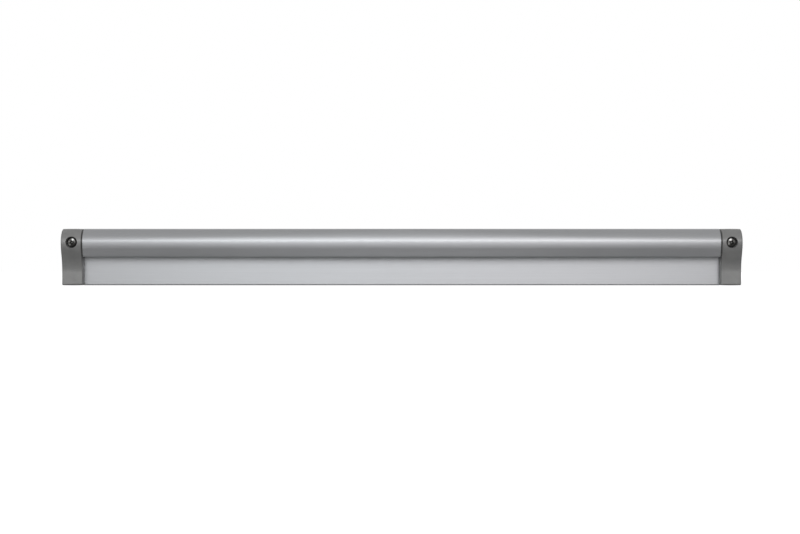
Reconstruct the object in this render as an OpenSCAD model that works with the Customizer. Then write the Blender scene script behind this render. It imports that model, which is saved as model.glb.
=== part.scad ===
// Order ticket rail for a kitchen pass or counter, 24 inches long.
// An aluminium extrusion with a flat back plate and a hooded channel, closed by a moulded cap at each end.
// Glass marbles lie loose in the channel, wedged between the back plate and the leaning face of the hood.
// A ticket pushed up behind them lifts the marbles it meets, and their weight then holds it.
// X runs along the rail, +Y points into the wall, +Z is up.
// The origin is the centre of the back face, on the wall.

/* [Rail] */
// Overall length over both end caps
rail_length = 609.6; // [200:0.1:800]
// Height from the bottom edge to the crown of the hood
rail_height = 50.8; // [42:0.1:60]
// Height of the crown above the hood's lip
lip_height = 25.4; // [23.8:0.1:30.8]
// Thickness of the back plate
plate_wall = 2; // [1.4:0.1:3]
// Thickness of the hood
hood_wall = 1.5; // [1:0.1:2]
// Outer radius of the hood's crown
crown_r = 13.6; // [13.2:0.1:15]
// Outer radius of the hood's nose
nose_r = 6; // [4:0.1:7]
// Angle above level at which the crown runs into the nose
nose_angle = 14; // [8:1:20]
// Lean of the hood's front face from upright
face_lean = 15; // [12:1:18]
// Radius on the front bottom edge of the back plate
plate_edge_r = 1; // [0.4:0.1:1.3]

/* [Marbles] */
// Diameter of a marble
marble_d = 14; // [13:0.1:14.5]
// Height of the crown above a resting marble's centre
marble_height = 16.1; // [14.8:0.1:16.8]
// Clearance from a marble to the plate and the hood
marble_gap = 0.15; // [0.05:0.05:0.3]
// Least free length per marble in the channel
marble_slack = 0.2; // [0.1:0.05:1]

/* [End caps] */
// Length of a cap along the rail
cap_width = 18.2; // [17:0.05:26]
// Wall thickness of a cap
cap_wall = 2; // [1.2:0.1:2.6]
// Depth of a cap's foot from the wall
foot_depth = 11.5; // [10:0.1:12]
// Radius of the hollow sweep from the foot up towards the shoulder
sweep_r = 30; // [24:1:34]
// Lean of a cap's front from upright between the shoulder and the sweep
shoulder_lean = 25; // [23:1:27]
// Height of the crown above the top of the shoulder
shoulder_height = 17.8; // [16.8:0.1:18.8]
// Radius over the shoulder
shoulder_r = 25; // [20:0.5:28]
// Radius on the foot's front bottom edge
foot_r = 1.2; // [0.6:0.1:2]
// Open seam between a cap and the end of the hood, which is cut back from the plate
cap_seam = 1.2; // [0.3:0.1:1.6]
// Clearance between a cap and the end of the back plate
plate_gap = 0.1; // [0.05:0.05:0.25]
// Length of the plug that a cap pushes into the channel
plug_length = 8; // [4:0.5:14]
// Clearance round the plug in the channel
plug_clearance = 0.2; // [0.1:0.05:0.5]
// Thickness of the rib under the screw boss
rib_wall = 1.5; // [1:0.1:2.5]
// Wall of the screw boss round its counterbore
boss_wall = 1.6; // [1:0.1:2.2]

/* [Screws] */
// Distance from a cap's outer end to its screw
screw_inset = 9.525; // [8:0.005:12]
// Height of the crown above a screw
screw_height = 12.3; // [10.8:0.1:14.8]
// Diameter of the counterbore for the head
counterbore_d = 10.2; // [9:0.1:11]
// Depth of the counterbore behind the front of the nose
counterbore_depth = 5; // [4:0.1:7]
// Diameter of the screw hole through the boss
screw_hole_d = 4.7; // [4.4:0.1:6]
// Length of a screw under its head
screw_length = 32; // [25:1:50]
// Diameter of the screw's plain shank
shank_d = 3.4; // [3:0.1:4.3]
// Diameter over the screw's thread
thread_d = 4.2; // [3.5:0.1:4.3]
// Length of the thread, with its point
thread_length = 17.5; // [8:0.5:25]
// Length of the screw's point
point_length = 4; // [2:0.5:6]
// Diameter of the pan head
head_d = 8.4; // [7.4:0.1:8.8]
// Height of the pan head
head_height = 2.9; // [2:0.1:3.5]
// Radius on the rim of the pan head
head_rim_r = 1.2; // [0.6:0.1:1.5]
// Span of the cross recess across its wings
recess_span = 4.6; // [3.5:0.1:5]
// Width of a wing of the cross recess
recess_wing = 1; // [0.7:0.1:1.3]
// Depth of the cross recess
recess_depth = 1.8; // [1:0.1:2]

/* [Hidden] */
$fn = 96;
// Every cut runs this far past the face that it opens
overrun = 1;
// Where two curves of a section meet, one is set in by this much
joint_shave = 0.005;
marble_r = marble_d / 2;
// The hood and all it carries hang from the crown
lip_level = rail_height - lip_height;
marble_level = rail_height - marble_height;
shoulder_level = rail_height - shoulder_height;
screw_level = rail_height - screw_height;
marble_depth = plate_wall + marble_gap + marble_r;
// The nose stands off so that a marble wedges at its resting height
nose_height = rail_height - crown_r + (crown_r - nose_r) * sin(nose_angle);
nose_depth = marble_depth + (marble_r + marble_gap + hood_wall - nose_r + joint_shave
    + (nose_height - marble_level) * sin(face_lean)) / cos(face_lean);
rail_depth = nose_depth + nose_r;
nose_centre = [nose_depth, nose_height];
crown_centre = nose_centre - (crown_r - nose_r) * [cos(nose_angle), sin(nose_angle)];

cap_inner_x = rail_length / 2 - cap_width;
hood_half = cap_inner_x - cap_seam;
plate_half = cap_inner_x - plate_gap;
channel_half = cap_inner_x - plug_length;
marble_count = floor(2 * channel_half / (marble_d + marble_slack));
marble_pitch = 2 * channel_half / marble_count;
marble_lift = crown_centre[1] - marble_level
    + sqrt(pow(crown_r - hood_wall - marble_r - marble_gap, 2) - pow(marble_depth - crown_centre[0], 2));
echo(depth_over_all = rail_depth, marbles = marble_count, pitch = marble_pitch, lift = marble_lift);

screw_x = rail_length / 2 - screw_inset;
seat_depth = rail_depth - counterbore_depth;

function marble_name(i) = str("marble_", i < 10 ? "0" : "", i);

// Sections are drawn as [depth from the wall, height above the bottom edge]
function on_arc(centre, r, a) = centre + r * [cos(a), sin(a)];

// Where the hood's front face leaves the nose, on the face inset by that much
function face_top(inset) = on_arc(nose_centre, nose_r - inset - joint_shave, -face_lean);
function face_depth(inset, height) = face_top(inset)[0] - (face_top(inset)[1] - height) * tan(face_lean);

// A cap's front runs from the hood's face over the shoulder, straight down to the sweep, and on to the foot
shoulder_top = [face_depth(0, shoulder_level), shoulder_level];
shoulder_centre = on_arc(shoulder_top, -shoulder_r, -face_lean);
function shoulder_end(inset) = on_arc(shoulder_centre, shoulder_r - inset, -shoulder_lean);
sweep_depth = foot_depth + sweep_r;
sweep_start = sweep_depth - sweep_r * cos(shoulder_lean);
sweep_height = shoulder_end(0)[1] - (shoulder_end(0)[0] - sweep_start) / tan(shoulder_lean)
    - sweep_r * sin(shoulder_lean);
sweep_centre = [sweep_depth, sweep_height];
function sweep_end(inset) = on_arc(sweep_centre, -sweep_r - inset, -shoulder_lean);

// Carries a section from one place along the rail to another
module section_between(x_from, x_to) {
    translate([x_to, 0, -rail_height / 2])
        rotate([90, 0, -90])
            linear_extrude(x_to - x_from)
                children();
}

// Stands a turned piece on its screw's axis, with its +Z towards the front
module on_screw_axis() {
    translate([screw_x, 0, screw_level - rail_height / 2])
        rotate([90, 0, 0])
            children();
}

// A slice of a disc between two angles less than a right angle apart
module slice(centre, r, a_from, a_to) {
    reach = 2 * r;
    intersection() {
        translate(centre) circle(r);
        polygon([centre, on_arc(centre, reach, a_from), on_arc(centre, reach, a_to)]);
    }
}

// Shaves a flat where the crown runs into the nose
module joint_section(inset) {
    translate(nose_centre)
        rotate(nose_angle)
            translate([nose_r - inset - joint_shave - 2 * rail_height, -rail_height])
                square(2 * rail_height);
}

// The crown and nose of the hood, filled back to the wall
module crown_section(inset) {
    top = rail_height - inset;
    intersection() {
        union() {
            polygon([
                [-overrun, face_top(inset)[1]],
                face_top(inset),
                on_arc(nose_centre, nose_r - inset, nose_angle),
                [crown_centre[0], top],
                [-overrun, top]
            ]);
            slice(crown_centre, crown_r - inset, nose_angle, 90);
            translate(nose_centre) circle(nose_r - inset);
        }
        joint_section(inset);
    }
}

// What lies between two heights and in front of the wall
module room_section(depth_from, height_from, height_to) {
    translate([depth_from, height_from])
        square([rail_depth + overrun, height_to - height_from]);
}

// The leaning face of the hood, filled back to the wall, down to the given height
module face_section(inset, height) {
    polygon([
        [-overrun, height],
        [face_depth(inset, height), height],
        face_top(inset),
        [-overrun, face_top(inset)[1]]
    ]);
}

// The channel that the marbles lie in, open downwards
module channel_section(inset, gap, height) {
    intersection() {
        union() {
            crown_section(inset);
            face_section(inset, height);
        }
        room_section(plate_wall + gap, height, rail_height);
    }
}

// The hood, with a full round on its lip
module hood_section() {
    lip_r = hood_wall / 2;
    lip_centre = [face_depth(lip_r, lip_level + lip_r), lip_level + lip_r];
    across = [cos(face_lean), -sin(face_lean)];
    intersection() {
        difference() {
            union() {
                crown_section(0);
                polygon([
                    lip_centre + lip_r * across,
                    face_top(0),
                    [-overrun, face_top(0)[1]],
                    [-overrun, lip_centre[1]],
                    lip_centre - hood_wall * across
                ]);
            }
            channel_section(hood_wall, 0, lip_level - overrun);
        }
        room_section(0, 0, rail_height);
    }
    translate(lip_centre) circle(lip_r);
}

// The back plate, with its front bottom edge rounded
module plate_section() {
    translate([0, plate_edge_r])
        square([plate_wall, rail_height - plate_edge_r]);
    square([plate_wall - plate_edge_r, plate_edge_r]);
    translate([plate_wall - plate_edge_r, plate_edge_r]) circle(plate_edge_r);
}

module rail_extrusion() {
    color("silver") {
        section_between(-hood_half, hood_half) hood_section();
        section_between(-plate_half, plate_half) plate_section();
    }
}

// The outline of a cap from the side, inset by that much
module cap_section(inset) {
    foot = foot_depth - inset;
    corner_r = max(foot_r - inset, 0);
    shoulder_from = on_arc(shoulder_centre, shoulder_r - inset, -face_lean);
    intersection() {
        union() {
            crown_section(inset);
            face_section(inset, shoulder_from[1]);
            difference() {
                polygon([
                    [-overrun, inset],
                    [foot - corner_r, inset],
                    [foot, inset + corner_r],
                    [foot, sweep_height],
                    sweep_end(inset),
                    shoulder_end(inset),
                    shoulder_from,
                    [-overrun, shoulder_from[1]]
                ]);
                translate(sweep_centre) circle(sweep_r + inset);
            }
            slice(shoulder_centre, shoulder_r - inset, -shoulder_lean, -face_lean);
            if (corner_r > 0)
                translate([foot - corner_r, inset + corner_r]) circle(corner_r);
        }
        room_section(0, inset, rail_height);
    }
}

// The room inside a cap, open to the wall
module cap_room() {
    section_between(cap_inner_x + cap_wall, rail_length / 2 - cap_wall) {
        cap_section(cap_wall);
        translate([-overrun, cap_wall])
            square([2 * overrun, rail_height - 2 * cap_wall]);
    }
}

// What a cap carries inside its shell and towards the extrusion, rooted in the middle of its wall
module cap_inside() {
    root = cap_wall / 2;
    intersection() {
        section_between(cap_inner_x + root, rail_length / 2 - root) cap_section(root);
        on_screw_axis()
            translate([0, 0, -overrun])
                cylinder(d = counterbore_d + 2 * boss_wall, h = rail_depth + 2 * overrun);
    }
    section_between(screw_x - rib_wall / 2, screw_x + rib_wall / 2)
        intersection() {
            cap_section(root);
            square([rail_depth, screw_level]);
        }
    section_between(channel_half, cap_inner_x + root)
        channel_section(hood_wall + plug_clearance, plug_clearance, lip_level + hood_wall);
}

// The core of the plug, open to the room inside the cap
module plug_room() {
    inset = plug_clearance + cap_wall;
    section_between(channel_half + cap_wall, cap_inner_x + cap_wall + overrun)
        channel_section(hood_wall + inset, inset, lip_level + hood_wall + cap_wall);
}

// One cap, at the +X end of the rail
module end_cap() {
    difference() {
        union() {
            difference() {
                section_between(cap_inner_x, rail_length / 2) cap_section(0);
                cap_room();
            }
            cap_inside();
        }
        plug_room();
        on_screw_axis() {
            translate([0, 0, -overrun]) cylinder(d = screw_hole_d, h = rail_depth);
            translate([0, 0, seat_depth]) cylinder(d = counterbore_d, h = rail_depth);
        }
    }
}

module left_end_cap() {
    color("dimgray") mirror([1, 0, 0]) end_cap();
}

module right_end_cap() {
    color("dimgray") end_cap();
}

// One screw, in the cap at the +X end of the rail
module screw() {
    on_screw_axis()
        translate([0, 0, seat_depth]) {
            difference() {
                rotate_extrude() {
                    square([head_d / 2, head_height - head_rim_r]);
                    square([head_d / 2 - head_rim_r, head_height]);
                    translate([head_d / 2 - head_rim_r, head_height - head_rim_r])
                        intersection() {
                            circle(head_rim_r);
                            square(head_rim_r);
                        }
                }
                for (turn = [0, 90])
                    rotate([0, 0, turn])
                        translate([-recess_span / 2, -recess_wing / 2, head_height - recess_depth])
                            cube([recess_span, recess_wing, recess_depth + overrun]);
            }
            translate([0, 0, thread_length - screw_length - overrun])
                cylinder(d = shank_d, h = screw_length - thread_length + overrun);
            translate([0, 0, point_length - screw_length])
                cylinder(d = thread_d, h = thread_length - point_length);
            translate([0, 0, -screw_length])
                cylinder(d1 = 0, d2 = thread_d, h = point_length);
        }
}

module left_screw() {
    color("gainsboro") mirror([1, 0, 0]) screw();
}

module right_screw() {
    color("gainsboro") screw();
}

// One marble, counted from the -X end of the rail
module marble(i) {
    color("lightcyan")
        translate([
            (i - (marble_count + 1) / 2) * marble_pitch,
            -marble_depth,
            marble_level - rail_height / 2
        ])
            sphere(marble_r);
}

rail_extrusion();
left_end_cap();
right_end_cap();
left_screw();
right_screw();
for (i = [1 : marble_count])
    marble(i);
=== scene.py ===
import math
import bpy
import bmesh
from mathutils import Matrix, Vector


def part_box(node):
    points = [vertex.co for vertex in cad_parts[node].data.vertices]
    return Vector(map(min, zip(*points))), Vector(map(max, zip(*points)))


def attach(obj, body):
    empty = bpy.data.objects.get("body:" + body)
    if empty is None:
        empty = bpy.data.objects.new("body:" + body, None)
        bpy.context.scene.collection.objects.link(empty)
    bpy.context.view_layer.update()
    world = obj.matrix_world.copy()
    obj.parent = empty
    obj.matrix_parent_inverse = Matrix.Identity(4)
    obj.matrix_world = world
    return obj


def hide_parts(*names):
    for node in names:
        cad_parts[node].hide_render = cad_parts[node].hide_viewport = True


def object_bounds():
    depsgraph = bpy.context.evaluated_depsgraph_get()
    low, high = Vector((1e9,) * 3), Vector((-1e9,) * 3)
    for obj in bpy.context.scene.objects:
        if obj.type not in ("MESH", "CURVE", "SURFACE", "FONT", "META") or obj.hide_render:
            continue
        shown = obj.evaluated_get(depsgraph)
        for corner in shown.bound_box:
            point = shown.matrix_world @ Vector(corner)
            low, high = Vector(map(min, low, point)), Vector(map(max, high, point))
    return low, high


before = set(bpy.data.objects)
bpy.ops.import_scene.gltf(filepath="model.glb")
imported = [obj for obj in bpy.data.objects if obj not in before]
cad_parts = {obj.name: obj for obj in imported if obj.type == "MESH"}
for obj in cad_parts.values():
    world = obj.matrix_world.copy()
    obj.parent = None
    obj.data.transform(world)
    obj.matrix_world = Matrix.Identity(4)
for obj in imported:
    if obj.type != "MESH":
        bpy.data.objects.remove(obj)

mm = 0.001
merging = 1e-7      # in metres: points nearer than this become one
touching = 1e-6     # and a point nearer than this lies on a face
past = 1            # in millimetres, how far a cutting tool stands out past what it cuts
scene = bpy.context.scene
cadBox = [list(corner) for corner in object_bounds()]
print("packed model loaded,", len(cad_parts), "nodes")


# small helpers for nodes

def link(tree, pairs):
    for source, target in pairs:
        tree.links.new(source, target)


def setInputs(node, values):
    for label, value in values.items():
        node.inputs[label].default_value = value


def newNode(tree, kind, values=None):
    node = tree.nodes.new(kind)
    setInputs(node, values or {})
    return node


# a material with its tree, its shader and the place of each point on the piece
def newMaterial(name):
    material = bpy.data.materials.new(name)
    material.use_nodes = True
    tree = material.node_tree
    return material, tree, tree.nodes["Principled BSDF"], newNode(tree, "ShaderNodeTexCoord").outputs["Object"]


def addMath(tree, operation, *values):
    node = newNode(tree, "ShaderNodeMath")
    node.operation = operation
    for socket, value in zip(node.inputs, values):
        if isinstance(value, (int, float)):
            socket.default_value = value
        else:
            tree.links.new(value, socket)
    return node.outputs[0]


def addSum(tree, total, *others):
    for value in others:
        total = addMath(tree, "ADD", total, value)
    return total


def addProduct(tree, total, *others):
    for value in others:
        total = addMath(tree, "MULTIPLY", total, value)
    return total


# low where the share is 0, high where it is 1
def addBlend(tree, share, low, high):
    rest = addMath(tree, "SUBTRACT", 1.0, share)
    return addSum(tree, addProduct(tree, rest, low), addProduct(tree, share, high))


def addVectorMath(tree, operation, vector, factor=None):
    node = newNode(tree, "ShaderNodeVectorMath")
    node.operation = operation
    tree.links.new(vector, node.inputs[0])
    if factor is not None:
        tree.links.new(factor, node.inputs["Scale"])
    return node.outputs["Value" if operation == "LENGTH" else "Vector"]


def addSplit(tree, vector):
    node = newNode(tree, "ShaderNodeSeparateXYZ")
    tree.links.new(vector, node.inputs[0])
    return node.outputs


# how far a point at x and z is from a line that runs along Y
def addDistance(tree, x, z, lineX, lineZ):
    aside = addMath(tree, "SUBTRACT", x, lineX)
    above = addMath(tree, "SUBTRACT", z, lineZ)
    return addMath(tree, "SQRT", addSum(tree, addProduct(tree, aside, aside), addProduct(tree, above, above)))


# size is the width of a grain in metres
def addNoise(tree, place, size, detail, stretch=(1, 1, 1), shift=(0, 0, 0)):
    mapping = newNode(tree, "ShaderNodeMapping", {"Scale": stretch, "Location": shift})
    noise = newNode(tree, "ShaderNodeTexNoise", {"Scale": 1 / size, "Detail": detail})
    link(tree, [(place, mapping.inputs["Vector"]), (mapping.outputs[0], noise.inputs["Vector"])])
    return noise.outputs["Fac"]


def addRange(tree, value, low, high, fromLow, fromHigh):
    node = newNode(tree, "ShaderNodeMapRange",
                   {"From Min": fromLow, "From Max": fromHigh, "To Min": low, "To Max": high})
    tree.links.new(value, node.inputs["Value"])
    return node.outputs[0]


# a ramp from one colour to another between two values
def addColours(tree, value, reach, colours):
    ramp = newNode(tree, "ShaderNodeValToRGB")
    for element, place, colour in zip(ramp.color_ramp.elements, reach, colours):
        element.position = place
        element.color = (*colour, 1)
    tree.links.new(value, ramp.inputs[0])
    return ramp.outputs[0]


def shade(colour, factor):
    return tuple(min(1, c * factor) for c in colour)


# bumps laid over one another, each a height with its strength and its depth in metres
def addRelief(tree, layers):
    normal = None
    for height, (strength, depth) in layers:
        bump = newNode(tree, "ShaderNodeBump", {"Strength": strength, "Distance": depth})
        tree.links.new(height, bump.inputs["Height"])
        if normal is not None:
            tree.links.new(normal, bump.inputs["Normal"])
        normal = bump.outputs[0]
    return normal


# 1 for what the camera sees, also through glass
def addSeen(tree, rays):
    return addMath(tree, "MAXIMUM", rays["Is Camera Ray"], rays["Is Transmission Ray"])


# small helpers for meshes

def newObject(name, data):
    made = bpy.data.objects.new(name, data)
    scene.collection.objects.link(made)
    return made


def openMesh(mesh):
    bm = bmesh.new()
    bm.from_mesh(mesh)
    return bm


def closeMesh(bm, name):
    mesh = bpy.data.meshes.new(name)
    bm.to_mesh(mesh)
    bm.free()
    return mesh


# merges what touches and turns the faces outwards first
def meshFrom(bm, name):
    bmesh.ops.remove_doubles(bm, verts=bm.verts, dist=merging)
    bmesh.ops.recalc_face_normals(bm, faces=bm.faces)
    return closeMesh(bm, name)


def paintMesh(mesh, material, smoothAngle):
    mesh.materials.clear()
    mesh.materials.append(material)
    mesh.shade_smooth()
    mesh.set_sharp_from_angle(angle=math.radians(smoothAngle))
    return mesh


# turns what the modifiers make into a plain mesh
def settle(piece):
    graph = bpy.context.evaluated_depsgraph_get()
    mesh = bpy.data.meshes.new_from_object(piece.evaluated_get(graph))
    mesh.name = piece.name
    piece.modifiers.clear()
    piece.data = mesh
    return piece


# keeps flats flat beside rounded edges
def evenNormals(piece):
    weighted = piece.modifiers.new("evenNormals", "WEIGHTED_NORMAL")
    weighted.keep_sharp = True
    settle(piece)


def cutWith(piece, tool, operation="DIFFERENCE"):
    boolean = piece.modifiers.new("cut", "BOOLEAN")
    boolean.operation = operation
    boolean.solver = "MANIFOLD"
    boolean.object = tool
    settle(piece)
    bpy.data.objects.remove(tool)
    return piece


# small helpers for geometry nodes

# a tree, its inputs by name, its result, and the identifiers that a modifier knows the inputs by
def newTree(name, inputs):
    tree = bpy.data.node_groups.new(name, "GeometryNodeTree")
    face = tree.interface
    for way in ("INPUT", "OUTPUT"):
        face.new_socket("Geometry", in_out=way, socket_type="NodeSocketGeometry")
    keys = {}
    for label, kind in inputs.items():
        keys[label] = face.new_socket(label, in_out="INPUT", socket_type="NodeSocket" + kind).identifier
    given = newNode(tree, "NodeGroupInput").outputs
    result = newNode(tree, "NodeGroupOutput").inputs[0]
    return tree, given, result, keys


def endTree(tree, given, result, geometry):
    realize = newNode(tree, "GeometryNodeRealizeInstances")
    paint = newNode(tree, "GeometryNodeSetMaterial")
    link(tree, [
        (geometry, realize.inputs[0]), (realize.outputs[0], paint.inputs[0]),
        (given["Material"], paint.inputs["Material"]), (paint.outputs[0], result),
    ])


# made is a tree with the identifiers of its inputs; most trees start from nothing
def runTree(name, made, values, startMesh=None):
    tree, keys = made
    host = newObject(name, startMesh or bpy.data.meshes.new("start"))
    modifier = host.modifiers.new("shape", "NODES")
    modifier.node_group = tree
    for label, value in values.items():
        modifier[keys[label]] = value
    return settle(host)


# camera

cameraSizes = {
    "distance": 1.619,      # from the wall plane to the lens
    "aside": -0.0015,
    "height": -0.009,       # level, a little below the middle of the rail
    "lens": 80.6, "sensor": 36, "nearest": 0.05, "farthest": 50,
}
cameraData = bpy.data.cameras.new("camera")
cameraData.lens = cameraSizes["lens"]
cameraData.sensor_width = cameraSizes["sensor"]
cameraData.clip_start = cameraSizes["nearest"]
cameraData.clip_end = cameraSizes["farthest"]
camera = newObject("camera", cameraData)
camera.location = (cameraSizes["aside"], -cameraSizes["distance"], cameraSizes["height"])
camera.rotation_euler = (math.radians(90), 0, 0)
scene.camera = camera


# light

scene.view_settings.view_transform = "Standard"

softboxes = {
    # name: (angle above level, spread, angle aside, width, brightness, colour), the angles in degrees
    "lowLeft": (18, 19, -7.5, 17, 1.38, (0.95, 0.99, 1.02)),
    "lowRight": (18, 19, 9.5, 17, 1.36, (1.0, 0.985, 1.01)),
    "highLeft": (32, 12, -7.5, 17, 0.75, (0.98, 1.0, 1.01)),
    "highRight": (32, 12, 9.5, 17, 0.72, (1.0, 0.995, 1.0)),
    "leftCard": (4, 8, -31, 12, 0.90, (1.0, 1.0, 1.0)),
}
softboxDistance = 2.4
for lampName, (angle, spread, aside, width, brightness, colour) in softboxes.items():
    up, turn = math.radians(angle), math.radians(aside)
    lampData = bpy.data.lights.new(lampName, "AREA")
    lampData.shape = "RECTANGLE"
    lampData.size = 2 * softboxDistance * math.cos(up) * math.tan(math.radians(width / 2))
    lampData.size_y = 2 * softboxDistance * math.tan(math.radians(spread / 2))
    lampData.energy = brightness * math.pi * lampData.size * lampData.size_y        # the same glow at any size
    lampData.color = colour
    lamp = newObject(lampName, lampData)
    lamp.location = softboxDistance * Vector((math.sin(turn) * math.cos(up), -math.cos(turn) * math.cos(up),
                                              math.sin(up)))
    lamp.rotation_euler = (math.radians(90) - up, 0, turn)

# a reach is the stretch of a direction's Z, or of its Y for the backdrop, over which one level becomes the next
worldLevels = {
    "diffuse": 1.22,        # plain fill from all round
    "overhead": 0.36,       # which is weaker from straight above
    "fillReach": (0.35, 0.85),
    "roomFront": 1.40,      # what metal sees at the level of the floor
    "roomTop": 0.31,        # and overhead
    "roomReach": (-0.35, 0.55),
    "backdropReach": (0.9, 1.0),
}
world = bpy.data.worlds.new("studio")
world.use_nodes = True
scene.world = world
tree = world.node_tree
direction = addSplit(tree, newNode(tree, "ShaderNodeTexCoord").outputs["Generated"])
rays = newNode(tree, "ShaderNodeLightPath").outputs
# the white backdrop stands behind the rail, the grey room lies overhead and in front
behind = addRange(tree, direction["Y"], 0, 1, *worldLevels["backdropReach"])
room = addRange(tree, direction["Z"], worldLevels["roomFront"], worldLevels["roomTop"], *worldLevels["roomReach"])
fill = addRange(tree, direction["Z"], worldLevels["diffuse"], worldLevels["overhead"], *worldLevels["fillReach"])
level = addBlend(tree, rays["Is Glossy Ray"], fill, addBlend(tree, behind, room, 1.0))
level = addBlend(tree, addSeen(tree, rays), level, 1.0)
background = tree.nodes["Background"]
background.inputs["Color"].default_value = (1, 1, 1, 1)
tree.links.new(level, background.inputs["Strength"])


# floor

floorSizes = {
    "radius": 4.0, "corners": 96, "colour": 0.22, "roughness": 0.9, "shine": 0.1,
    "lift": 0.85,           # how much it glows by itself near the rail
    "fadeReach": (0.45, 1.1),       # over this stretch of distances it fades into the backdrop
}
bm = bmesh.new()
bmesh.ops.create_circle(bm, cap_ends=True, segments=floorSizes["corners"], radius=floorSizes["radius"])
for vertex in bm.verts:
    vertex.co.z = cadBox[0][2]
floor = newObject("floor", closeMesh(bm, "floor"))
floorMaterial, tree, shader, place = newMaterial("paleFloor")
setInputs(shader, {
    "Base Color": (*[floorSizes["colour"]] * 3, 1), "Roughness": floorSizes["roughness"],
    "Specular IOR Level": floorSizes["shine"], "Emission Color": (1, 1, 1, 1),
})
lift = addRange(tree, addVectorMath(tree, "LENGTH", place), floorSizes["lift"], 1, *floorSizes["fadeReach"])
seen = addSeen(tree, newNode(tree, "ShaderNodeLightPath").outputs)
tree.links.new(addProduct(tree, seen, lift), shader.inputs["Emission Strength"])
floor.data.materials.append(floorMaterial)
print("camera, light and floor set")


# materials

# a noise is given by the width of its grain in metres, its detail, its stretch and its shift,
# a relief by its strength and its depth in metres, and a reach by the two values that a range or ramp runs between;
# a share is a noise's part in the tone
aluminiumLook = {
    "colour": (0.86, 0.87, 0.89), "shades": (0.94, 1.04), "roughness": (0.35, 0.41), "toneReach": (0.3, 0.7),
    "anisotropy": 0.75, "anisotropyTurn": 0.25,     # the lines scatter light up and down
    "lines": (0.00022, 2.0, (0.012, 1, 1)), "linesShare": 0.45, "linesRelief": (0.30, 0.000012),
    "streaks": (0.0016, 2.0, (0.004, 1, 1), (0.3, 0.1, 0.2)), "streaksShare": 0.35,
    "streaksRelief": (0.20, 0.00002),
    "clouds": (0.035, 3.0, (0.6, 1, 1), (0.7, 0.2, 0.5)), "cloudsShare": 0.2,
    "grain": (0.00012, 1.0, (1, 1, 1), (0.1, 0.4, 0.9)), "grainRelief": (0.10, 0.000006),
}


# satin anodised, with the fine lines that the die draws along it
def makeAnodisedAluminium():
    look = aluminiumLook
    material, tree, shader, place = newMaterial("anodisedAluminium")
    lines = addNoise(tree, place, *look["lines"])
    streaks = addNoise(tree, place, *look["streaks"])
    clouds = addNoise(tree, place, *look["clouds"])
    grain = addNoise(tree, place, *look["grain"])
    tone = addSum(tree, addProduct(tree, lines, look["linesShare"]),
                  addProduct(tree, streaks, look["streaksShare"]),
                  addProduct(tree, clouds, look["cloudsShare"]))
    colours = [shade(look["colour"], factor) for factor in look["shades"]]
    link(tree, [
        (addColours(tree, tone, look["toneReach"], colours), shader.inputs["Base Color"]),
        (addRange(tree, tone, *look["roughness"], *look["toneReach"]), shader.inputs["Roughness"]),
        (addRelief(tree, [(lines, look["linesRelief"]), (streaks, look["streaksRelief"]),
                          (grain, look["grainRelief"])]), shader.inputs["Normal"]),
    ])
    setInputs(shader, {"Metallic": 1, "Anisotropic": look["anisotropy"],
                       "Anisotropic Rotation": look["anisotropyTurn"]})
    return material


plasticLook = {
    "colours": ((0.312, 0.312, 0.308), (0.400, 0.399, 0.393)), "roughness": (0.34, 0.42), "metallic": 0.48,
    "toneReach": (0.3, 0.7), "grain": (0.00028, 3.0), "grainShare": 0.45, "grainRelief": (0.35, 0.00003),
    "clouds": (0.009, 4.0, (1, 1, 1), (0.2, 0.6, 0.1)), "cloudsShare": 0.55,
    "poreSize": 0.0006, "poreRelief": (0.15, 0.00003),
    "boreAxis": (0.295275, 0.0131), "boreReach": (0.004794, 0.005304),
    "boreShade": 0.24,      # painted shade: how much of the brightness is left inside the counterbores
    "seamShade": 0.55, "seamReach": (0.28670, 0.28720),     # painted shade beside the seam
    "endShade": 0.74, "endReach": (0.3034, 0.3045),         # and painted shade along the outer end
}


# mid-grey moulded plastic with a fine spark texture and a little metallic pigment
def makeCapPlastic():
    look = plasticLook
    material, tree, shader, place = newMaterial("capPlastic")
    grain = addNoise(tree, place, *look["grain"])
    clouds = addNoise(tree, place, *look["clouds"])
    pores = newNode(tree, "ShaderNodeTexVoronoi", {"Scale": 1 / look["poreSize"]})
    tree.links.new(place, pores.inputs["Vector"])
    tone = addSum(tree, addProduct(tree, grain, look["grainShare"]), addProduct(tree, clouds, look["cloudsShare"]))
    # painted shade darkens the counterbores, the seam and the outer end of both caps alike, so places count from the
    # middle of the rail
    at = addSplit(tree, place)
    across = addMath(tree, "ABSOLUTE", at["X"])
    away = addDistance(tree, across, at["Z"], *look["boreAxis"])
    shadeFactor = addProduct(tree, addRange(tree, away, look["boreShade"], 1, *look["boreReach"]),
                       addRange(tree, across, look["seamShade"], 1, *look["seamReach"]),
                       addRange(tree, across, 1, look["endShade"], *look["endReach"]))
    colour = addColours(tree, tone, look["toneReach"], look["colours"])
    link(tree, [
        (addVectorMath(tree, "SCALE", colour, shadeFactor), shader.inputs["Base Color"]),
        (addRange(tree, grain, *look["roughness"], *look["toneReach"]), shader.inputs["Roughness"]),
        (addRelief(tree, [(grain, look["grainRelief"]), (pores.outputs["Distance"], look["poreRelief"])]),
         shader.inputs["Normal"]),
    ])
    setInputs(shader, {"Metallic": look["metallic"]})
    return material


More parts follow.
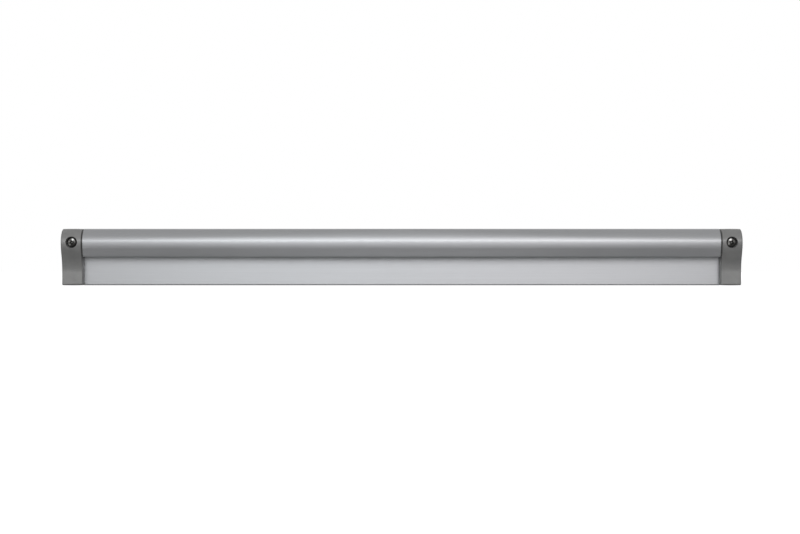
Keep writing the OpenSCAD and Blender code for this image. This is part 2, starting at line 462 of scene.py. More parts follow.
screwLook = {
    "colour": (0.72, 0.71, 0.68), "shades": (0.8, 1), "colourReach": (0.35, 0.6),
    "roughness": (0.12, 0.24), "roughReach": (0.1, 0.4),
    "scratches": (0.00018, 3.0, (1, 1, 0.15)), "blotches": (0.0009, 3.0, (1, 1, 1), (0.4, 0.3, 0.8)),
    "relief": (0.15, 0.00001),
    "faceShade": 0.20,        # painted shade: how much of its brightness the face of a head keeps
    "faceReach": (-0.0150, -0.0142),        # along Y: the face lies in front of this
    # places on the two faces, as (x, z), of small painted glints
    "glintPlaces": [(-0.29450, 0.01600), (-0.29730, 0.01090), (0.29420, 0.01590), (0.29265, 0.01165)],
    "glintReach": (0.0003, 0.0017), "glintRoughness": 0.42, "glintColour": (0.95, 0.94, 0.91),
    "glintLeast": 0.45, "glintBreaks": (0.35, 0.6),       # the painted glints are broken up by the scratches
}


# bright nickel plate, with painted shade over the faces of the heads and small painted glints on them
def makePlatedSteel():
    look = screwLook
    material, tree, shader, place = newMaterial("platedSteel")
    scratches = addNoise(tree, place, *look["scratches"])
    blotches = addNoise(tree, place, *look["blotches"])
    at = addSplit(tree, place)
    # a face gets painted shade but for its painted glints
    face = addRange(tree, at["Y"], 1, 0, *look["faceReach"])
    glint = 0.0
    for glintX, glintZ in look["glintPlaces"]:
        away = addDistance(tree, at["X"], at["Z"], glintX, glintZ)
        glint = addMath(tree, "MAXIMUM", glint, addRange(tree, away, 1, 0, *look["glintReach"]))
    glint = addProduct(tree, glint, face, addRange(tree, scratches, look["glintLeast"], 1, *look["glintBreaks"]))
    colours = [shade(look["colour"], factor) for factor in look["shades"]]
    plain = addVectorMath(tree, "SCALE", addColours(tree, blotches, look["colourReach"], colours),
                          addBlend(tree, face, 1.0, look["faceShade"]))
    tone = newNode(tree, "ShaderNodeMixRGB", {"Color2": (*look["glintColour"], 1)})
    finish = addMath(tree, "MAXIMUM", addProduct(tree, glint, look["glintRoughness"]),
                     addRange(tree, addProduct(tree, scratches, blotches), *look["roughness"], *look["roughReach"]))
    link(tree, [
        (plain, tone.inputs["Color1"]), (glint, tone.inputs["Fac"]), (tone.outputs[0], shader.inputs["Base Color"]),
        (finish, shader.inputs["Roughness"]),
        (addRelief(tree, [(scratches, look["relief"])]), shader.inputs["Normal"]),
    ])
    setInputs(shader, {"Metallic": 1})
    return material


glassLook = {
    "colours": ((0.80, 0.93, 0.88), (0.90, 0.97, 0.95)), "colourReach": (0.35, 0.65),
    "roughness": (0.02, 0.10), "roughReach": (0.45, 0.75), "refraction": 1.5,
    "scuffs": (0.0007, 4.0, (1, 0.3, 0.3)), "swirl": (0.006, 2.0, (1, 1, 1), (0.5, 0.1, 0.3)),
    "relief": (0.05, 0.0002),
}


# clear glass with a faint green tint, and a skin scuffed by the plate
def makeMarbleGlass():
    look = glassLook
    material, tree, shader, place = newMaterial("marbleGlass")
    scuffs = addNoise(tree, place, *look["scuffs"])
    swirl = addNoise(tree, place, *look["swirl"])
    link(tree, [
        (addColours(tree, swirl, look["colourReach"], look["colours"]), shader.inputs["Base Color"]),
        (addRange(tree, scuffs, *look["roughness"], *look["roughReach"]), shader.inputs["Roughness"]),
        (addRelief(tree, [(swirl, look["relief"])]), shader.inputs["Normal"]),
    ])
    setInputs(shader, {"Transmission Weight": 1, "IOR": look["refraction"]})
    return material


anodisedAluminium = makeAnodisedAluminium()
capPlastic = makeCapPlastic()
platedSteel = makePlatedSteel()
marbleGlass = makeMarbleGlass()
print("materials made")


# the rail's section

# All in millimetres, drawn as (depth from the wall, height above the bottom edge)
railSizes = {
    "height": 50.8, "crownRadius": 13.6, "noseRadius": 6.0, "noseAngle": 14.0,
    "hoodWall": 1.5, "plateWall": 2.0, "lipHeight": 25.4, "faceLean": 15.0,
    "bellyRadius": 21.0,    # the front swells a little below the nose
    "hoodCutBack": 1.1,     # how far the hood stops short of the plate's ends
    "cutEdge": 0.16,        # what deburring takes off the sawn ends
    "plateEdge": 1.0,
    # how many pieces each arc is drawn in
    "arcs": {"crown": 40, "nose": 6, "belly": 14, "lip": 14, "inNose": 12, "inCrown": 32, "plateEdge": 8},
    "flatAngle": 0.2, "smoothAngle": 35,        # degrees below which faces become one, and edges look soft
}
railLow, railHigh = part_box("rail_extrusion")
railDepth = -railLow.y / mm
halfHeight = railSizes["height"] / 2


def facing(angle):
    return Vector((math.cos(math.radians(angle)), math.sin(math.radians(angle))))


# points on an arc, each with the way it faces
def arc(centre, radius, angleFrom, angleTo, count):
    out = []
    for i in range(count + 1):
        way = facing(angleFrom + (angleTo - angleFrom) * i / count)
        out.append((centre + radius * way, way))
    return out


noseInset = railSizes["crownRadius"] - railSizes["noseRadius"]
noseCentre = Vector((railDepth - railSizes["noseRadius"],
                     railSizes["height"] - railSizes["crownRadius"]
                     + noseInset * math.sin(math.radians(railSizes["noseAngle"]))))
crownCentre = noseCentre - noseInset * facing(railSizes["noseAngle"])


# depth of the flat inner face of the hood at a height
def leaningFace(inset, height):
    top = noseCentre + (railSizes["noseRadius"] - inset) * facing(-railSizes["faceLean"])
    return top.x - (top.y - height) * math.tan(math.radians(railSizes["faceLean"]))


lipRadius = railSizes["hoodWall"] / 2
lipCentre = Vector((leaningFace(lipRadius, railSizes["lipHeight"] + lipRadius), railSizes["lipHeight"] + lipRadius))
# below the nose's foremost point a larger arc takes over, and ends where a straight line touches the lip
bellyCentre = noseCentre + Vector((railSizes["noseRadius"] - railSizes["bellyRadius"], 0))
toLip = lipCentre - bellyCentre
faceAngle = math.degrees(math.atan2(toLip.y, toLip.x)
                         + math.acos((railSizes["bellyRadius"] - lipRadius) / toLip.length))
print("the hood's front leans", round(-faceAngle, 2), "degrees above the lip")


# the outer face from the top down to where the belly ends, with the number of pieces for each arc
def frontArcs(crown, nose, belly):
    points = arc(crownCentre, railSizes["crownRadius"], 90, railSizes["noseAngle"], crown)
    points += arc(noseCentre, railSizes["noseRadius"], railSizes["noseAngle"], 0, nose)[1:]
    return points + arc(bellyCentre, railSizes["bellyRadius"], 0, faceAngle, belly)[1:]


# the closed outline of the extrusion: hood, lip, channel, slot and back plate
def hoodOutline():
    high, wall, plate, edge = (railSizes[k] for k in ("height", "hoodWall", "plateWall", "plateEdge"))
    nose, leaning, count = (railSizes[k] for k in ("noseAngle", "faceLean", "arcs"))
    points = frontArcs(count["crown"], count["nose"], count["belly"])
    points += arc(lipCentre, lipRadius, faceAngle, -180 - leaning, count["lip"])
    points += arc(noseCentre, railSizes["noseRadius"] - wall, -leaning, nose, count["inNose"])
    points += arc(crownCentre, railSizes["crownRadius"] - wall, nose, 90, count["inCrown"])[1:]
    points += [(Vector((plate, high - wall)), None), (Vector((plate, edge)), None)]
    points += arc(Vector((plate - edge, edge)), edge, 0, -90, count["plateEdge"])[1:]
    return [Vector((0, high))] + [p for p, way in points] + [Vector((0, 0))]


def makeSectionMesh(name, outline):
    mesh = bpy.data.meshes.new(name)
    count = len(outline)
    # a swept profile lands with its X on -Y and its Y on -Z
    mesh.from_pydata([(p.x * mm, -(p.y - halfHeight) * mm, 0) for p in outline],
                     [(i, (i + 1) % count) for i in range(count)], [])
    return mesh


# the extrusion: its section swept along a line, both ends sawn square
def makeSweptExtrusion():
    tree, given, result, keys = newTree("sweptExtrusion", {
        "Start": "Float", "End": "Float", "Material": "Material"})
    section = newNode(tree, "GeometryNodeMeshToCurve")
    pathFrom, pathTo = newNode(tree, "ShaderNodeCombineXYZ"), newNode(tree, "ShaderNodeCombineXYZ")
    path = newNode(tree, "GeometryNodeCurvePrimitiveLine")
    sweep = newNode(tree, "GeometryNodeCurveToMesh", {"Fill Caps": True})
    link(tree, [
        (given["Geometry"], section.inputs["Mesh"]),
        (given["Start"], pathFrom.inputs["X"]), (given["End"], pathTo.inputs["X"]),
        (pathFrom.outputs[0], path.inputs["Start"]), (pathTo.outputs[0], path.inputs["End"]),
        (path.outputs[0], sweep.inputs["Curve"]), (section.outputs[0], sweep.inputs["Profile Curve"]),
    ])
    endTree(tree, given, result, sweep.outputs[0])
    return tree, keys


sweptExtrusion = makeSweptExtrusion()


def sweepSection(name, outline, start, end, material):
    values = {"Start": start * mm, "End": end * mm, "Material": material}
    piece = runTree(name, sweptExtrusion, values, makeSectionMesh(name + "Section", outline))
    piece.data = meshFrom(openMesh(piece.data), name)
    piece.data.materials.append(material)
    return piece


def boxTool(name, low, high):
    bm = bmesh.new()
    bmesh.ops.create_cube(bm, size=1)
    for vertex in bm.verts:
        vertex.co = Vector([(a + b) / 2 + c * (b - a) for a, b, c in zip(low, high, vertex.co)]) * mm
    return newObject(name, meshFrom(bm, name))


railExtrusion = sweepSection("railExtrusion", hoodOutline(), railLow.x / mm, railHigh.x / mm, anodisedAluminium)
hoodEnd = railHigh.x / mm - railSizes["hoodCutBack"]
for side in (-1, 1):
    ends = sorted((side * hoodEnd, side * (hoodEnd + railSizes["hoodCutBack"] + past)))
    cutWith(railExtrusion, boxTool("cutBack", (ends[0], -railDepth - past, -halfHeight - past),
                                   (ends[1], -railSizes["plateWall"], halfHeight + past)))
bm = openMesh(railExtrusion.data)
bmesh.ops.dissolve_limit(bm, angle_limit=math.radians(railSizes["flatAngle"]), verts=bm.verts, edges=bm.edges)


# an edge that a saw has left, other than the inner corner at the plate's face
def isSawn(edge):
    def lies(place, face):
        return abs(abs(place) - face) < touching

    plateFace, insideEnd = railSizes["plateWall"] * mm, railHigh.x - touching
    if all(lies(v.co.y, plateFace) and abs(v.co.x) < insideEnd for v in edge.verts):
        return False
    return any(all(lies(v.co.x, end) for v in edge.verts) for end in (hoodEnd * mm, railHigh.x))


sawn = [e for e in bm.edges if isSawn(e)]
bmesh.ops.bevel(bm, geom=sawn, offset=railSizes["cutEdge"] * mm, segments=2, profile=0.5, affect="EDGES",
                clamp_overlap=True)
railExtrusion.data = paintMesh(meshFrom(bm, "railExtrusion"), anodisedAluminium, railSizes["smoothAngle"])
evenNormals(railExtrusion)
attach(railExtrusion, "rail")
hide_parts("rail_extrusion")
print("extrusion made,", len(railExtrusion.data.polygons), "faces")


# end caps

capSizes = {
    "footDepth": 11.5, "sweepRadius": 30.0, "shoulderLean": 25.0, "shoulderRadius": 25.0,
    "footRadius": 1.4, "wall": 2.0,
    "outerEdge": 0.8,       # rounding of the outer end
    "seamEdge": 0.4,        # and of the edge beside the seam
    "swell": 0.15,          # how far the middle of the width stands proud of its ends
    "screwInset": 9.525, "screwHeight": 38.5, "counterbore": 10.2, "counterboreDepth": 5.0,
    "screwHole": 4.7, "bossWall": 1.6, "ribWall": 1.5,
    "plugLength": 8.0, "plugClearance": 0.2, "rimRounding": 0.3,
    # how many pieces each arc is drawn in, and the width between its rounded edges
    "arcs": {"crown": 26, "nose": 6, "belly": 12, "shoulder": 5, "sweep": 14, "foot": 8,
             "plugCrown": 24, "plugNose": 8, "seamEdge": 4, "width": 12, "outerEdge": 8,
             "boss": 72, "screwHole": 72, "counterbore": 96},
    # the rim's edges are found this near the bore's radius, this far in front of its floor, and no steeper than this
    "rimNear": 0.02, "rimFront": 1.0, "rimSlope": 0.9,
    "flatAngle": 0.3, "smoothAngle": 35,
}
capLow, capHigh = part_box("right_end_cap")
capOuter = capHigh.x / mm
capInner = capLow.x / mm + capSizes["plugLength"]
screwX = capOuter - capSizes["screwInset"]
screwZ = capSizes["screwHeight"] - halfHeight


# the side outline of a cap from the wall over the crown, nose and shoulder down the sweep to the foot
def capOutline():
    count, shoulder, sweep, foot = (capSizes[k] for k in ("arcs", "shoulderRadius", "sweepRadius", "footRadius"))
    leaning = capSizes["shoulderLean"]
    points = frontArcs(count["crown"], count["nose"], count["belly"])
    points += arc(points[-1][0] - shoulder * facing(faceAngle), shoulder,
                  faceAngle, -leaning, count["shoulder"])[1:]
    # a straight stretch goes on until the hollow sweep can end upright at the foot's depth
    down = Vector((-math.sin(math.radians(leaning)), -math.cos(math.radians(leaning))))
    bend = sweep * (1 - math.cos(math.radians(leaning)))
    straight = (points[-1][0].x - capSizes["footDepth"] - bend) / -down.x
    hollow = points[-1][0] + down * straight + sweep * facing(-leaning)
    points += [(p, -way) for p, way in arc(hollow, sweep, 180 - leaning, 180, count["sweep"])]
    points += arc(Vector((capSizes["footDepth"] - foot, foot)), foot, 0, -90, count["foot"])
    return [(Vector((0, railSizes["height"])), facing(90))] + points + [(Vector((0, 0)), facing(-90))]


# the outline moved inwards; its two ends stay on the wall plane, or run behind it
def insetLoop(outline, inset, behind=0.0):
    loop = [p - way * inset for p, way in outline]
    loop[0].x = loop[-1].x = -behind
    return loop


# closes loops that lie at their places along X into one solid
def solidFromLoops(name, stations):
    bm = bmesh.new()
    rows = [[bm.verts.new((x * mm, -p.x * mm, (p.y - halfHeight) * mm)) for p in loop] for x, loop in stations]
    for low, high in zip(rows, rows[1:]):
        for i in range(len(low) - 1):
            bm.faces.new((low[i], low[i + 1], high[i + 1], high[i]))
        bm.faces.new((low[-1], low[0], high[0], high[-1]))
    bm.faces.new(list(reversed(rows[0])))
    bm.faces.new(rows[-1])
    bmesh.ops.remove_doubles(bm, verts=bm.verts, dist=merging)
    bmesh.ops.dissolve_degenerate(bm, edges=bm.edges, dist=merging / 10)
    bmesh.ops.recalc_face_normals(bm, faces=bm.faces)
    return newObject(name, closeMesh(bm, name))


# a closed shape that fits up into the hood, inset from the hood's outer faces
def channelOutline(inset, backDepth, floorHeight):
    count, nose, leaning = capSizes["arcs"], railSizes["noseAngle"], railSizes["faceLean"]
    points = arc(crownCentre, railSizes["crownRadius"] - inset, 90, nose, count["plugCrown"])
    points += arc(noseCentre, railSizes["noseRadius"] - inset, nose, -leaning, count["plugNose"])[1:]
    foot = [Vector((leaningFace(inset, floorHeight), floorHeight)), Vector((backDepth, floorHeight))]
    return [Vector((backDepth, railSizes["height"] - inset))] + [p for p, way in points] + foot


# lays what stands on Z along a screw's axis, at a distance from the wall
def ontoScrewAxis(axisX, distance):
    return (Matrix.Translation((axisX * mm, -distance * mm, screwZ * mm))
            @ Matrix.Rotation(math.radians(90), 4, "X"))


# a round tool on the axis of the right screw, between two depths from the wall
def turnedTool(name, radius, depthFrom, depthTo):
    bm = bmesh.new()
    bmesh.ops.create_cone(bm, cap_ends=True, segments=capSizes["arcs"][name], radius1=radius * mm,
                          radius2=radius * mm, depth=(depthTo - depthFrom) * mm)
    bmesh.ops.transform(bm, matrix=ontoScrewAxis(screwX, (depthFrom + depthTo) / 2), verts=bm.verts)
    return newObject(name, meshFrom(bm, name))


# places along the width of a cap, each with how far its rounded edges draw the outline in there
def capStations():
    count, edge, seam = (capSizes[k] for k in ("arcs", "outerEdge", "seamEdge"))
    stations = []
    for i in range(count["seamEdge"] + 1):
        turn = math.radians(90 * (1 - i / count["seamEdge"]))
        stations.append((capInner + seam * (1 - math.sin(turn)), seam * (1 - math.cos(turn))))
    for i in range(1, count["width"]):
        stations.append((capInner + seam + (capOuter - edge - capInner - seam) * i / count["width"], 0))
    for i in range(count["outerEdge"] + 1):
        turn = math.radians(90 * i / count["outerEdge"])
        stations.append((capOuter - edge * (1 - math.sin(turn)), edge * (1 - math.cos(turn))))
    return stations


# what goes into the channel, or with an inset the room inside it
def plugShape(name, inset, start, end):
    gap, hood = capSizes["plugClearance"], railSizes["hoodWall"]
    outline = channelOutline(hood + gap + inset, railSizes["plateWall"] + gap + inset,
                             railSizes["lipHeight"] + hood + inset)
    return sweepSection(name, outline, start, end, capPlastic)


# one moulded cap, made at the +X end and mirrored for the other
def makeCap(name, side):
    outline = capOutline()
    wall, bore, boreDepth = (capSizes[k] for k in ("wall", "counterbore", "counterboreDepth"))
    middle, half = (capInner + capOuter) / 2, (capOuter - capInner) / 2
    cap = solidFromLoops(name, [(x, insetLoop(outline, inset + capSizes["swell"] * ((x - middle) / half) ** 2))
                                for x, inset in capStations()])
    cutWith(cap, solidFromLoops("room", [(x, insetLoop(outline, wall, past))
                                         for x in (capInner + wall, capOuter - wall)]))
    # the screw boss and its rib grow from the middle of the wall
    boss = turnedTool("boss", bore / 2 + capSizes["bossWall"], 0, railDepth + past)
    cutWith(boss, boxTool("rib", (screwX - capSizes["ribWall"] / 2, -railDepth - past, -halfHeight - past),
                          (screwX + capSizes["ribWall"] / 2, 0, screwZ)), "UNION")
    cutWith(boss, solidFromLoops("core", [(x, insetLoop(outline, wall / 2))
                                          for x in (capInner + wall / 2, capOuter - wall / 2)]), "INTERSECT")
    cutWith(cap, boss, "UNION")
    plugStart = capInner - capSizes["plugLength"]
    cutWith(cap, plugShape("plug", 0, plugStart, capInner + wall / 2), "UNION")
    cutWith(cap, plugShape("plugRoom", wall, plugStart + wall, capInner + wall + past))
    cutWith(cap, turnedTool("screwHole", capSizes["screwHole"] / 2, -past, railDepth))
    cutWith(cap, turnedTool("counterbore", bore / 2, railDepth - boreDepth, railDepth + boreDepth))
    bm = openMesh(cap.data)
    if side < 0:
        bmesh.ops.scale(bm, vec=(-1, 1, 1), verts=bm.verts)
    bmesh.ops.dissolve_limit(bm, angle_limit=math.radians(capSizes["flatAngle"]), verts=bm.verts, edges=bm.edges)

    # the rim is where the counterbore comes out; the edges along its wall run straight back and aren't part of it
    def onRim(v):
        out = Vector((v.co.x - side * screwX * mm, 0, v.co.z - screwZ * mm)).length
        front = -(railDepth - boreDepth + capSizes["rimFront"]) * mm
        return abs(out - bore / 2 * mm) < capSizes["rimNear"] * mm and v.co.y < front

    def runsAcross(edge):
        first, second = (v.co for v in edge.verts)
        return abs(first.y - second.y) < capSizes["rimSlope"] * (first - second).length

    rim = [e for e in bm.edges if all(onRim(v) for v in e.verts) and runsAcross(e)]
    bmesh.ops.bevel(bm, geom=rim, offset=capSizes["rimRounding"] * mm, segments=3, profile=0.5, affect="EDGES",
                    clamp_overlap=True)
    bmesh.ops.recalc_face_normals(bm, faces=bm.faces)
    bpy.data.objects.remove(cap)
    cap = newObject(name, paintMesh(closeMesh(bm, name), capPlastic, capSizes["smoothAngle"]))
    evenNormals(cap)
    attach(cap, "rail")
    print(name, "made,", len(cap.data.polygons), "faces")
    return cap


leftEndCap = makeCap("leftEndCap", -1)
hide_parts("left_end_cap")
rightEndCap = makeCap("rightEndCap", 1)
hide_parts("right_end_cap")


# screws

screwSizes = {
    "headWidth": 8.4, "headHeight": 2.9, "rimRadius": 1.2, "domeDrop": 0.32,
    "underEdge": 0.15, "underBend": 0.3,        # the head's lower edge is bent once, at this share of it
    "neck": (0.25, 0.3),        # what the shank gains under the head, outwards and downwards
    "length": 32.0, "shank": 3.4, "threadLength": 17.5, "threadWidth": 4.2, "threadRoot": 3.0,
    "rootStep": 0.3,        # how fast the shank goes over into the thread's root
    "pitch": 1.7, "pointLength": 4.0,
    "crestShare": 0.75,     # how much of the thread's depth stands clear of the root
    "crestAtTip": 0.12,     # the share of its full size that the ridge starts with
    "runOut": 18.0,         # the thread fades over the last of so many parts of its length
    "threadBack": 0.12,     # how far behind the tip it starts
    "stepsPerTurn": 28, "turnedSteps": 64, "domeSteps": 8, "rimSteps": 10, "smoothAngle": 32,
    "tipGap": 0.01,         # how far the tip stays short of the CAD's
    "leftTurn": 15.0, "rightTurn": 68.0,        # degrees that the crosses are turned
    "recess": {
        "span": 4.6, "wing": 1.0, "depth": 1.8, "foot": 1.7,
        "above": 0.3,       # how far the tool stands above the head
        "flare": 0.12, "wingTop": 1.04, "wingFoot": 0.62,       # the arms narrow from the top to the foot
        "edge": 0.16,
        "wellTop": 1.45, "wellFoot": 0.95, "wellDrop": 0.25, "wellSteps": 32,
    },
}


# turns (radius, height) points about Z; both ends lie on the axis
def spinProfile(name, profile, segments):
    bm = bmesh.new()
    top, bottom = (bm.verts.new((0, 0, profile[end][1] * mm)) for end in (0, -1))
    turns = [2 * math.pi * i / segments for i in range(segments)]
    rings = [[bm.verts.new((r * mm * math.cos(turn), r * mm * math.sin(turn), z * mm)) for turn in turns]
             for r, z in profile[1:-1]]
    for i in range(segments):
        j = (i + 1) % segments
        bm.faces.new((top, rings[0][i], rings[0][j]))
        bm.faces.new((bottom, rings[-1][j], rings[-1][i]))
        for a, b in zip(rings, rings[1:]):
            bm.faces.new((a[i], b[i], b[j], a[j]))
    return newObject(name, meshFrom(bm, name))


# pan head: a low dome, a rounded rim, an upright side and a broken lower edge
def headProfile():
    high, rim, under, drop, domeSteps, rimSteps = (screwSizes[k] for k in (
        "headHeight", "rimRadius", "underEdge", "domeDrop", "domeSteps", "rimSteps"))
    wide, shank, bend = screwSizes["headWidth"] / 2, screwSizes["shank"] / 2, under * screwSizes["underBend"]
    flat = wide - rim
    dome = (flat ** 2 + drop ** 2) / (2 * drop)
    points = [(0, high)]
    for i in range(1, domeSteps + 1):
        r = flat * i / domeSteps
        points.append((r, high - dome + math.sqrt(dome ** 2 - r ** 2)))
    start = 90 - math.degrees(math.asin(flat / dome))
    startCos, startSin = math.cos(math.radians(start)), math.sin(math.radians(start))
    for i in range(1, rimSteps + 1):
        turn = math.radians(start * (1 - i / rimSteps))
        points.append((flat + rim * (math.cos(turn) - startCos), high - drop - rim * (startSin - math.sin(turn))))
    # the rim starts where the dome ends, so the whole is drawn out to the head's width
    edge = points[-1][0]
    points = [(r * wide / edge, z) for r, z in points]
    points += [(wide, under), (wide - bend, bend), (wide - under, 0)]
    return points + [(shank + screwSizes["neck"][0], 0), (shank, -screwSizes["neck"][1])]


# a cross that narrows towards its foot, with a round well in the middle
def recessTool(turn):
    sizes = screwSizes["recess"]
    high, deep = screwSizes["headHeight"] + sizes["above"], sizes["depth"] + sizes["above"]
    span, foot, wing = sizes["span"] / 2, sizes["foot"] / 2, sizes["wing"] / 2
    corners = ((-1, -1), (1, -1), (1, 1), (-1, 1))
    tool = None
    for quarter in (0, 90):
        bm = bmesh.new()
        top = [bm.verts.new((x * (span + sizes["flare"]), y * wing * sizes["wingTop"], high)) for x, y in corners]
        low = [bm.verts.new((x * foot, y * wing * sizes["wingFoot"], high - deep)) for x, y in corners]
        bm.faces.new(top)
        bm.faces.new(list(reversed(low)))
        for i in range(len(corners)):
            j = (i + 1) % len(corners)
            bm.faces.new((top[j], top[i], low[i], low[j]))
        bmesh.ops.scale(bm, vec=(mm, mm, mm), verts=bm.verts)
        upright = [e for e in bm.edges if abs(e.verts[0].co.z - e.verts[1].co.z) > touching]
        bmesh.ops.bevel(bm, geom=upright, offset=sizes["edge"] * mm, segments=2, profile=0.5, affect="EDGES")
        bmesh.ops.rotate(bm, matrix=Matrix.Rotation(math.radians(quarter + turn), 3, "Z"), verts=bm.verts)
        arm = newObject("arm", meshFrom(bm, "arm"))
        tool = arm if tool is None else cutWith(tool, arm, "UNION")
    well = [(0, high), (sizes["wellTop"], high), (sizes["wellFoot"], high - deep + sizes["wellDrop"]),
            (0, high - deep - sizes["wellDrop"])]
    return cutWith(tool, spinProfile("well", well, sizes["wellSteps"]), "UNION")


# the thread: a helix whose radius falls away over the point, swept with a small triangle
def makeScrewThread():
    tree, given, result, keys = newTree("screwThread", {
        "Root": "Float", "Depth": "Float", "Length": "Float", "Point": "Float", "Turns": "Float", "Steps": "Int",
        "Material": "Material"})
    line = newNode(tree, "GeometryNodeCurvePrimitiveLine", {"End": (0, 0, 1)})
    steps = newNode(tree, "GeometryNodeResampleCurve")
    share = newNode(tree, "GeometryNodeSplineParameter").outputs["Factor"]
    height = addProduct(tree, share, given["Length"])
    angle = addProduct(tree, share, given["Turns"], 2 * math.pi)
    taper = addMath(tree, "MINIMUM", addMath(tree, "DIVIDE", height, given["Point"]), 1.0)
    reach = addProduct(tree, taper, given["Root"])
    ending = addProduct(tree, addMath(tree, "SUBTRACT", 1.0, share), screwSizes["runOut"])
    growth = addMath(tree, "MINIMUM", addSum(tree, taper, screwSizes["crestAtTip"]), 1.0)
    size = addProduct(tree, growth, addMath(tree, "MINIMUM", ending, 1.0))
    place = newNode(tree, "ShaderNodeCombineXYZ")
    setPlace = newNode(tree, "GeometryNodeSetPosition")
    crest = newNode(tree, "GeometryNodeCurvePrimitiveCircle", {"Resolution": 3})
    sweep = newNode(tree, "GeometryNodeCurveToMesh", {"Fill Caps": True})
    link(tree, [
        (line.outputs[0], steps.inputs["Curve"]), (given["Steps"], steps.inputs["Count"]),
        (addProduct(tree, addMath(tree, "COSINE", angle), reach), place.inputs["X"]),
        (addProduct(tree, addMath(tree, "SINE", angle), reach), place.inputs["Y"]),
        (height, place.inputs["Z"]),
        (steps.outputs[0], setPlace.inputs["Geometry"]), (place.outputs[0], setPlace.inputs["Position"]),
        (setPlace.outputs[0], sweep.inputs["Curve"]), (size, sweep.inputs["Scale"]),
        (given["Depth"], crest.inputs["Radius"]), (crest.outputs[0], sweep.inputs["Profile Curve"]),
    ])
    endTree(tree, given, result, sweep.outputs[0])
    return tree, keys


screwThread = makeScrewThread()


# pan head, cross recess, plain shank, thread and point, on its cap's axis
def makeScrew(name, side):
    length, threadLength, point = (screwSizes[k] for k in ("length", "threadLength", "pointLength"))
    shank, root = screwSizes["shank"] / 2, screwSizes["threadRoot"] / 2
    depth = screwSizes["threadWidth"] / 2 - root
    turns = threadLength / screwSizes["pitch"]
    body = spinProfile(name, headProfile() + [
        (shank, -(length - threadLength)), (root, -(length - threadLength) - screwSizes["rootStep"]),
        (root, -(length - point)), (0, -length)], screwSizes["turnedSteps"])
    cutWith(body, recessTool(screwSizes["leftTurn" if side < 0 else "rightTurn"]))
    thread = runTree(name + "Thread", screwThread, {
        "Root": (root + depth * (1 - screwSizes["crestShare"])) * mm,
        "Depth": depth * screwSizes["crestShare"] * mm,
        "Length": threadLength * mm, "Point": point * mm, "Turns": turns,
        "Steps": int(turns * screwSizes["stepsPerTurn"]), "Material": platedSteel})
    bm = openMesh(body.data)
    first = len(bm.verts)
    bm.from_mesh(thread.data)
    bm.verts.ensure_lookup_table()
    bmesh.ops.translate(bm, vec=(0, 0, -(length - screwSizes["threadBack"]) * mm), verts=bm.verts[first:])
    # how far from the wall the underside of the head lies
    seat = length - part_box("right_screw")[1].y / mm + screwSizes["tipGap"]
    bmesh.ops.transform(bm, matrix=ontoScrewAxis(side * screwX, seat), verts=bm.verts)
    mesh = meshFrom(bm, name)
    bpy.data.objects.remove(body)
    bpy.data.objects.remove(thread)
    screw = newObject(name, paintMesh(mesh, platedSteel, screwSizes["smoothAngle"]))
    evenNormals(screw)
    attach(screw, "rail")
    print(name, "made,", len(screw.data.polygons), "faces")
    return screw


leftScrew = makeScrew("leftScrew", -1)
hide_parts("left_screw")
rightScrew = makeScrew("rightScrew", 1)
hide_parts("right_screw")


# marbles

marbleSizes = {
    "outOfRound": 0.03, "lumpSize": 6.0, "lumpStep": 1.37, "divisions": 5,
    "bubbles": 5, "bubbleRadius": (0.12, 0.4), "bubbleDivisions": 2,
    "bubbleReach": 0.5,     # how far from the middle they may lie along each axis, as a share of the radius
    "firstSeed": 7,
}


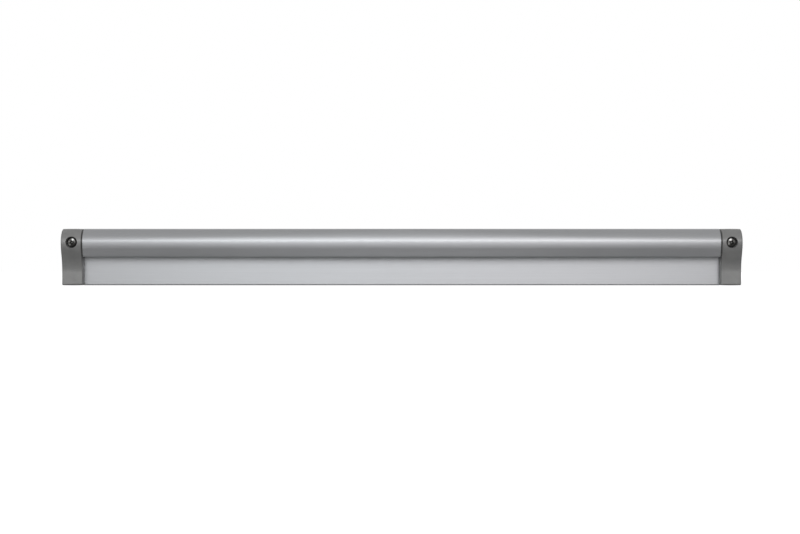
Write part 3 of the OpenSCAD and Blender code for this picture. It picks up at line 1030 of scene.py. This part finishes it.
# one marble, with a few seed bubbles inside; the seed turns and fills each one differently
def makeGlassMarble():
    tree, given, result, keys = newTree("glassMarble", {
        "Centre": "Vector", "Radius": "Float", "Out Of Round": "Float", "Bubbles": "Int", "Seed": "Int",
        "Material": "Material"})
    ball = newNode(tree, "GeometryNodeMeshIcoSphere", {"Subdivisions": marbleSizes["divisions"]})
    shapeBall = newNode(tree, "GeometryNodeSetPosition")
    where = newNode(tree, "GeometryNodeInputPosition").outputs[0]
    lumps = newNode(tree, "ShaderNodeTexNoise", {"Scale": 1 / (marbleSizes["lumpSize"] * mm), "Detail": 1})
    lumps.noise_dimensions = "4D"
    # the skin is only ever pushed in, so a marble stays within its ball
    dent = addProduct(tree, lumps.outputs["Fac"], -1.0, given["Out Of Round"])
    push = addVectorMath(tree, "SCALE", addVectorMath(tree, "NORMALIZE", where), dent)
    scatter = newNode(tree, "FunctionNodeRandomValue")
    scatter.data_type = "FLOAT_VECTOR"
    setInputs(scatter, {"Min": (-1, -1, -1), "Max": (1, 1, 1)})
    reach = addProduct(tree, given["Radius"], marbleSizes["bubbleReach"])
    spots = newNode(tree, "GeometryNodePoints")
    smallest, largest = marbleSizes["bubbleRadius"]
    sizes = newNode(tree, "FunctionNodeRandomValue")
    setInputs(sizes, {2: smallest * mm, 3: largest * mm})       # its float sockets
    bubble = newNode(tree, "GeometryNodeMeshIcoSphere", {
        "Radius": 1, "Subdivisions": marbleSizes["bubbleDivisions"]})
    turnInside = newNode(tree, "GeometryNodeFlipFaces")
    blow = newNode(tree, "GeometryNodeInstanceOnPoints")
    both = newNode(tree, "GeometryNodeJoinGeometry")
    smooth = newNode(tree, "GeometryNodeSetShadeSmooth")
    carry = newNode(tree, "GeometryNodeTransform")
    link(tree, [
        (given["Radius"], ball.inputs["Radius"]),
        (where, lumps.inputs["Vector"]),
        (addProduct(tree, given["Seed"], marbleSizes["lumpStep"]), lumps.inputs["W"]),
        (ball.outputs["Mesh"], shapeBall.inputs["Geometry"]), (push, shapeBall.inputs["Offset"]),
        (given["Bubbles"], spots.inputs["Count"]),
        (given["Seed"], scatter.inputs["Seed"]), (given["Seed"], sizes.inputs["Seed"]),
        (addVectorMath(tree, "SCALE", scatter.outputs[0], reach), spots.inputs["Position"]),
        (bubble.outputs["Mesh"], turnInside.inputs[0]),
        (spots.outputs[0], blow.inputs["Points"]), (turnInside.outputs[0], blow.inputs["Instance"]),
        (sizes.outputs[1], blow.inputs["Scale"]),
        (shapeBall.outputs[0], both.inputs[0]), (blow.outputs[0], both.inputs[0]),
        (both.outputs[0], smooth.inputs[0]), (smooth.outputs[0], carry.inputs["Geometry"]),
        (given["Centre"], carry.inputs["Translation"]),
    ])
    endTree(tree, given, result, carry.outputs[0])
    return tree, keys


glassMarble = makeGlassMarble()
marbleNames = sorted(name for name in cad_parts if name.startswith("marble_"))
for number, nodeName in enumerate(marbleNames, 1):
    low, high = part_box(nodeName)
    marble = runTree(f"glassMarble{number:02d}", glassMarble, {
        "Centre": (low + high) / 2, "Radius": (high.x - low.x) / 2, "Out Of Round": marbleSizes["outOfRound"] * mm,
        "Bubbles": marbleSizes["bubbles"], "Seed": marbleSizes["firstSeed"] + number, "Material": marbleGlass})
    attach(marble, nodeName)
    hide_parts(nodeName)
print(len(marbleNames), "marbles made")
